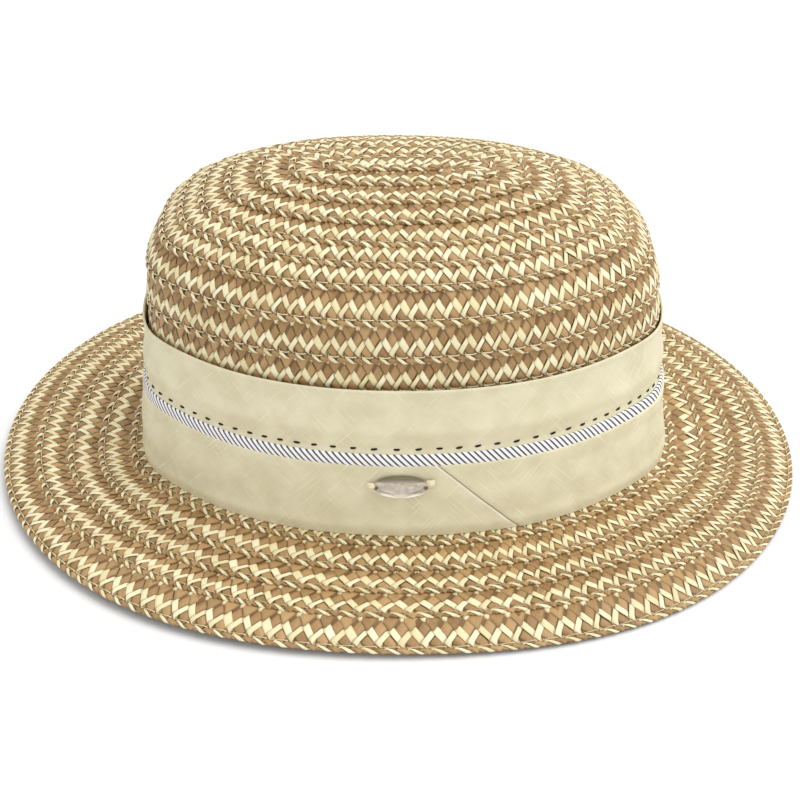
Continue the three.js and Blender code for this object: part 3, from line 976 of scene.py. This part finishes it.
strawLook = {
    "tanDark": srgb(144, 110, 64), "tanLight": srgb(200, 164, 112), "tanDeep": srgb(112, 78, 42),
    "creamLight": srgb(252, 246, 212), "creamDark": srgb(226, 210, 156),
    # colours of the painted shade at a strand's edges and where it dips under its crossing strands
    "paintedShadeTan": srgb(92, 62, 34), "paintedShadeCream": srgb(176, 152, 104),
    "rough": (0.42, 0.6), "bump": 0.4,
}


def makeStraw():
    # tan and cream straw: each strand's own tone, streaks along it, painted shade at its edges and where it
    # dips under the others
    look = strawLook
    m, tree, shader = newMaterial("plaited straw")
    fibre = node(tree, "ShaderNodeGroup", node_tree=fibreGroup)
    fill(tree, fibre, {"Across": 34.0, "Along": 0.16})
    kind, tone, depth = [
        node(tree, "ShaderNodeAttribute", attribute_name=title).outputs["Fac"]
        for title in ("strandKind", "strandTone", "strandDepth")
    ]
    streak = remap(tree, fibre.outputs["Streaks"], 0.3, 0.7, 0.0, 1.0)
    shade = calc(tree, "MULTIPLY_ADD", tone, 0.6, calc(tree, "MULTIPLY", streak, 0.4))
    tanBase = mixColour(tree, shade, look["tanDark"], look["tanLight"])
    deep = remap(tree, fibre.outputs["Blotches"], 0.56, 0.7, 0.0, 0.45)
    tanBase = mixColour(tree, deep, tanBase, look["tanDeep"])
    creamBase = mixColour(tree, shade, look["creamDark"], look["creamLight"])
    colour = mixColour(tree, kind, tanBase, creamBase)
    # painted shade at a strand's edges and where it dips under the others
    paintedShadeColour = mixColour(tree, kind, look["paintedShadeTan"], look["paintedShadeCream"])
    paintedUnderShade = remap(tree, depth, 0.55, -0.35, 0.0, 0.75)
    # painted shade along both edges of a strand
    rim = calc(tree, "MULTIPLY", fibre.outputs["Edge"], 0.6)
    colour = mixColour(tree, calc(tree, "MAXIMUM", paintedUnderShade, rim), colour, paintedShadeColour)
    rough = remap(tree, fibre.outputs["Streaks"], 0.3, 0.7, look["rough"][0], look["rough"][1])
    fill(tree, shader, {"Base Color": colour, "Roughness": rough, "Specular IOR Level": 0.45})
    addBump(tree, shader, fibre.outputs["Streaks"], look["bump"])
    return m


def makeSlubGroup():
    # thick threads of linen cut on the bias: long thin marks in two crossing directions, in
    # millimetres on the cloth's map, with the fine weave and slow mottling
    group, gin, gout = newGroup(
        "linen weave",
        [("Turn", "NodeSocketFloat", 0.82), ("Width", "NodeSocketFloat", 1.5),
         ("Length", "NodeSocketFloat", 0.055)],
        [("Slubs", "NodeSocketFloat"), ("Weave", "NodeSocketFloat"), ("Mottle", "NodeSocketFloat")],
    )
    uv = node(group, "ShaderNodeUVMap", uv_map="cloth").outputs[0]
    turn = gin.outputs["Turn"]
    masks, weave = [], []
    for sign, shift in ((1.0, 0.0), (-1.0, 37.0)):
        turned = node(group, "ShaderNodeVectorRotate", rotation_type="Z_AXIS")
        fill(group, turned, {"Vector": uv, "Angle": calc(group, "MULTIPLY", turn, sign)})
        parts = split(group, turned.outputs[0])
        across = calc(group, "MULTIPLY", parts[1], gin.outputs["Width"])
        along = calc(group, "MULTIPLY", parts[0], gin.outputs["Length"])
        marks = flatNoise(group, join(group, calc(group, "ADD", along, shift), across), 1.0, 1.5)
        masks.append(remap(group, marks, 0.63, 0.78, 0.0, 1.0))
    for direction in ("X", "Y"):
        turned = node(group, "ShaderNodeVectorRotate", rotation_type="Z_AXIS")
        fill(group, turned, {"Vector": uv, "Angle": turn})
        wave = node(group, "ShaderNodeTexWave", bands_direction=direction)
        fill(group, wave, {
            "Vector": turned.outputs[0], "Scale": 0.62, "Distortion": 1.2, "Detail": 1.0,
        })
        weave.append(wave.outputs["Fac"])
    fill(group, gout, {
        "Slubs": calc(group, "MAXIMUM", masks[0], masks[1]),
        "Weave": calc(group, "MULTIPLY", weave[0], weave[1]),
        "Mottle": flatNoise(group, uv, 0.09, 4.0),
    })
    return group


clothLook = {
    "light": srgb(232, 225, 194), "dark": srgb(222, 214, 181), "slub": srgb(244, 239, 212),
    # the seam colour is painted shadow along the seam's fold, and the next is a painted highlight on its
    # folded edge
    "seam": srgb(150, 138, 104), "seamHighlight": srgb(252, 250, 232),
    # how far left of the seam the middle of its painted shadow line and of its painted highlight lie
    "seamShadowIn": 0.35, "seamHighlightIn": 1.35,
}


def makeCloth(name, seam):
    # cream linen; the lower strip has a painted shadow line and a painted highlight along its slanting seam
    look, b = clothLook, bandShape
    m, tree, shader = newMaterial(name)
    weave = node(tree, "ShaderNodeGroup", node_tree=slubGroup)
    mottle = remap(tree, weave.outputs["Mottle"], 0.35, 0.65, 0.0, 1.0)
    colour = mixColour(tree, mottle, look["dark"], look["light"])
    colour = mixColour(tree, calc(tree, "MULTIPLY", weave.outputs["Slubs"], 0.6), colour, look["slub"])
    height = calc(tree, "MULTIPLY_ADD", weave.outputs["Slubs"], 0.5, weave.outputs["Weave"])
    if seam:
        uv = split(tree, node(tree, "ShaderNodeUVMap", uv_map="cloth").outputs[0])
        slanted = calc(tree, "MULTIPLY_ADD", uv[1], b["seamSlope"], uv[0])
        seamAt = b["seamTop"] + b["lowerHigh"] * b["seamSlope"]
        # a painted shadow line along the seam's fold; the same mask also presses a groove into the bump
        away = calc(tree, "ABSOLUTE", calc(tree, "SUBTRACT", slanted, seamAt - look["seamShadowIn"]))
        line = remap(tree, away, 0.18, 0.55, 0.8, 0.0)
        colour = mixColour(tree, line, colour, look["seam"])
        # a painted highlight along the seam's folded edge
        beside = calc(tree, "ABSOLUTE", calc(tree, "SUBTRACT", slanted, seamAt - look["seamHighlightIn"]))
        pale = remap(tree, beside, 0.25, 0.6, 0.9, 0.0)
        colour = mixColour(tree, pale, colour, look["seamHighlight"])
        height = calc(tree, "SUBTRACT", height, line)
    fill(tree, shader, {"Base Color": colour, "Roughness": 0.82, "Specular IOR Level": 0.25})
    addBump(tree, shader, height, 0.3)
    return m


ribbonLook = {
    "white": srgb(255, 254, 255), "line": srgb(62, 62, 84), "soft": 0.05,
    # a line's slant along for each millimetre up, over their usual period, and its share of it
    "slant": 0.92, "usualPeriod": 2.35, "share": 0.37,
    # distance from the front, and the lines' period there
    "arc": [-290, -84, -55, 0, 43, 68, 90, 290],
    "period": [2.4, 2.44, 2.3, 2.4, 2.1, 1.95, 2.4, 2.4],
}


def stripeNumbers():
    # the number of lines from the back to each step of the band: the sum of 1 / period
    look = ribbonLook
    density = 1 / np.interp(bandArc, look["arc"], look["period"])
    sums = np.concatenate([[0], np.cumsum((density[1:] + density[:-1]) / 2 * np.diff(bandArc))])
    return sums * round(sums[-1]) / sums[-1]


def makeRibbon():
    # white ribbon with dark slanting lines, on a map of line numbers and millimetres
    look = ribbonLook
    m, tree, shader = newMaterial("striped ribbon")
    uv = split(tree, node(tree, "ShaderNodeUVMap", uv_map="cloth").outputs[0])
    slanted = calc(tree, "MULTIPLY_ADD", uv[1], look["slant"] / look["usualPeriod"], uv[0])
    off = calc(tree, "SUBTRACT", calc(tree, "FRACT", slanted), 0.5)
    half, soft = look["share"] / 2, look["soft"]
    line = remap(tree, calc(tree, "ABSOLUTE", off), half - soft, half + soft, 1.0, 0.0)
    colour = mixColour(tree, line, look["white"], look["line"])
    fill(tree, shader, {"Base Color": colour, "Roughness": 0.6})
    addBump(tree, shader, calc(tree, "MULTIPLY", line, -1.0), 0.4)
    return m


def makePlain(name, colour, rough):
    # one even colour, for thread
    m, tree, shader = newMaterial(name)
    fill(tree, shader, {"Base Color": colour, "Roughness": rough, "Specular IOR Level": 0.3})
    return m


metalLook = {
    # the dull and clean tones are tarnish; the darker colour is painted shade for the upper rim and the
    # lightest is a painted highlight for the lower rim
    "dull": srgb(196, 190, 180), "clean": srgb(226, 221, 214), "dark": srgb(156, 152, 136),
    "paintedHighlight": srgb(250, 245, 236),
    # heights over the plate's middle between which painted shade darkens the upper rim and a painted
    # highlight lightens the lower rim
    "above": (1.9 * mm, 2.5 * mm), "below": (-2.1 * mm, -2.7 * mm), "rough": (0.46, 0.3),
}


def makeMetal():
    # tarnished silver: slow tarnish, with painted shade along the upper rim and a painted highlight along
    # the lower rim
    look = metalLook
    m, tree, shader = newMaterial("tarnished silver with painted rim light")
    place = node(tree, "ShaderNodeTexCoord").outputs["Object"]
    noise = node(tree, "ShaderNodeTexNoise")
    fill(tree, noise, {"Vector": place, "Scale": 420.0, "Detail": 4.0})
    tarnish = remap(tree, noise.outputs[0], 0.35, 0.65, 0.0, 1.0)
    colour = mixColour(tree, tarnish, look["dull"], look["clean"])
    middle = (hatShape["rootZ"] + loopShape["plateCentre"]) * mm
    height = calc(tree, "SUBTRACT", split(tree, place)[2], middle)
    # painted shade on the upper rim and a painted highlight on the lower rim, set by height
    above = remap(tree, height, look["above"][0], look["above"][1], 0.0, 1.0)
    below = remap(tree, height, look["below"][0], look["below"][1], 0.0, 1.0)
    colour = mixColour(tree, above, colour, look["dark"])
    colour = mixColour(tree, below, colour, look["paintedHighlight"])
    rough = remap(tree, noise.outputs[0], 0.3, 0.7, look["rough"][0], look["rough"][1])
    fill(tree, shader, {"Base Color": colour, "Metallic": 1.0, "Roughness": rough})
    return m


fibreGroup = makeFibreGroup()
slubGroup = makeSlubGroup()
straw = makeStraw()
clothUpper = makeCloth("linen", False)
clothLower = makeCloth("linen with seam", True)
ribbon = makeRibbon()
blackThread = makePlain("black thread", srgb(38, 33, 26), 0.7)
creamThread = makePlain("cream thread", srgb(236, 226, 190), 0.65)
metal = makeMetal()
print("materials made")

# Crown and brim in plait
s = plait["spacing"]
strandsTip = (pathEnd - runAtTurn(crownPlait["tipTurns"])) / s
strandsSide = (pathEnd - runAtTurn(crownPlait["sideTurns"])) / s
strandsEnd = pathEnd / s - 6
tipPlait = ribbonPiece(
    "crownTipPlait", strandArrays(strandsTip, strandsEnd, placeOnCrown, True, 21), straw
)
sidePlait = ribbonPiece(
    "crownSidePlait", strandArrays(strandsSide, strandsTip, placeOnCrown, True, 22), straw
)
rootPlait = ribbonPiece(
    "crownRootPlait", strandArrays(0, strandsSide, placeOnCrown, False, 23), straw
)
coreUnder = ribbonPiece("crownCoreStrands", coreStrands(), straw)
for ob in (tipPlait, sidePlait, rootPlait, coreUnder):
    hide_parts("crown")
brimInner = ribbonPiece("brimInnerPlait", brimRow(0) + brimRow(1) + brimRow(2), straw)
brimOuter = ribbonPiece("brimOuterPlait", brimRow(3) + brimRow(4), straw)
for ob in (brimInner, brimOuter):
    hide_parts("brim")
for ob in (tipPlait, sidePlait, rootPlait, brimInner, brimOuter):
    print(ob.name, "triangles", len(ob.data.loops) - 2 * len(ob.data.polygons))

crownTube = threadArrays(strandsSide, strandsEnd, placeOnCrown)
brimTubes = [threadArrays(0, *brimRowPlace(number)) for number in range(len(brimPlait["edges"]))]
closedTubes("crownRowThread", [crownTube], creamThread)
closedTubes("brimRowThread", brimTubes, creamThread)
print("straw plaited")

upperBand = bandStrip("bandUpperCloth", bandShape["upperLow"], bandShape["upperHigh"],
                      bandShape["upperThick"], upperFace, clothUpper, 30, bandArc)
lowerBand = bandStrip("bandLowerCloth", bandShape["lowerLow"], bandShape["lowerHigh"],
                      bandShape["thick"], lowerFace, clothLower, 34, bandArc)
pipingBand = bandStrip("pipingRibbon", bandShape["pipingLow"], bandShape["pipingHigh"],
                       bandShape["pipingThick"], pipingFace, ribbon, 8, stripeNumbers())
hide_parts("band_upper")
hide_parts("band_lower")
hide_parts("piping")
stitches = closedTubes("runningStitches", stitchTubes(), blackThread)
closedTubes("plateLoops", loopTubes(), creamThread)
badge = bpy.data.objects["badge"]
badge.data.materials.clear()
badge.data.materials.append(metal)
print("band, stitches and plate made; the band is", round(bandRound, 1), "mm round")

# Camera, floor and lamps
view = {
    # in degrees, millimetres and pixels, from a fit of the hat's outlines in the photograph
    "elevation": 31.73, "distance": 556.89, "focal": 1383.77, "roll": 0.16,
    "shiftX": 1.43, "shiftY": -4.74, "pixels": 800, "sensor": 36.0,
}


def makeCamera():
    # stands back from the front of the hat, raised by the elevation about the crown's root, then
    # rolled and shifted
    e, roll = math.radians(view["elevation"]), math.radians(view["roll"])
    right = np.array([1.0, 0.0, 0.0])
    back = np.array([0.0, -math.cos(e), math.sin(e)])
    up = np.cross(back, right)
    c, sn = math.cos(roll), math.sin(roll)
    rows = np.array([[c, -sn, 0], [sn, c, 0], [0, 0, 1]]) @ np.stack([right, up, back])
    place = -(rows.T @ np.array([view["shiftX"], view["shiftY"], -view["distance"]]))
    place[2] += hatShape["rootZ"]
    data = bpy.data.cameras.new("camera")
    data.sensor_width = view["sensor"]
    data.lens = view["focal"] / view["pixels"] * view["sensor"]
    data.clip_start, data.clip_end = 0.01, 20.0
    cam = bpy.data.objects.new("camera", data)
    bpy.context.scene.collection.objects.link(cam)
    matrix = np.eye(4)
    matrix[:3, :3] = rows.T
    matrix[:3, 3] = place * mm
    cam.matrix_world = Matrix(matrix.tolist())
    bpy.context.scene.camera = cam


floorLook = {"half": 3.0, "colour": (0.9, 0.9, 0.9, 1), "rough": 0.9}


def makeFloor():
    # a level square under the hat
    data = bpy.data.meshes.new("floor")
    r = floorLook["half"]
    data.from_pydata([(-r, -r, 0), (r, -r, 0), (r, r, 0), (-r, r, 0)], [], [(0, 1, 2, 3)])
    m, tree, shader = newMaterial("pale floor")
    fill(tree, shader, {"Base Color": floorLook["colour"], "Roughness": floorLook["rough"]})
    ob = bpy.data.objects.new("floor", data)
    data.materials.append(m)
    bpy.context.scene.collection.objects.link(ob)


lamps = {
    # strength of each lamp, how wide it is in degrees, and the way it comes from
    "key": {"strength": 1.7, "wide": 55, "from": (0.46, 0.05, 0.95)},
    "front": {"strength": 0.3, "wide": 80, "from": (0.15, -1.0, 0.7)},
}
worldStrength = 0.72


def makeLights():
    # each lamp's own z axis points back to where its light comes from
    for name, lamp in lamps.items():
        data = bpy.data.lights.new(name, "SUN")
        data.energy, data.angle = lamp["strength"], math.radians(lamp["wide"])
        ob = bpy.data.objects.new(name, data)
        bpy.context.scene.collection.objects.link(ob)
        z = np.array(lamp["from"]) / np.linalg.norm(lamp["from"])
        x = np.cross([0, 1, 0.01], z)
        x = x / np.linalg.norm(x)
        matrix = np.eye(4)
        matrix[:3, 0], matrix[:3, 1], matrix[:3, 2], matrix[:3, 3] = x, np.cross(z, x), z, z
        ob.matrix_world = Matrix(matrix.tolist())
    world = bpy.data.worlds.new("studio")
    bpy.context.scene.world = world
    world.use_nodes = True
    tree = world.node_tree
    fill(tree, tree.nodes["Background"], {"Color": (1, 1, 1, 1), "Strength": worldStrength})


bpy.context.scene.view_settings.view_transform = "Standard"
makeCamera()
makeFloor()
makeLights()
print("camera, floor and lights made")
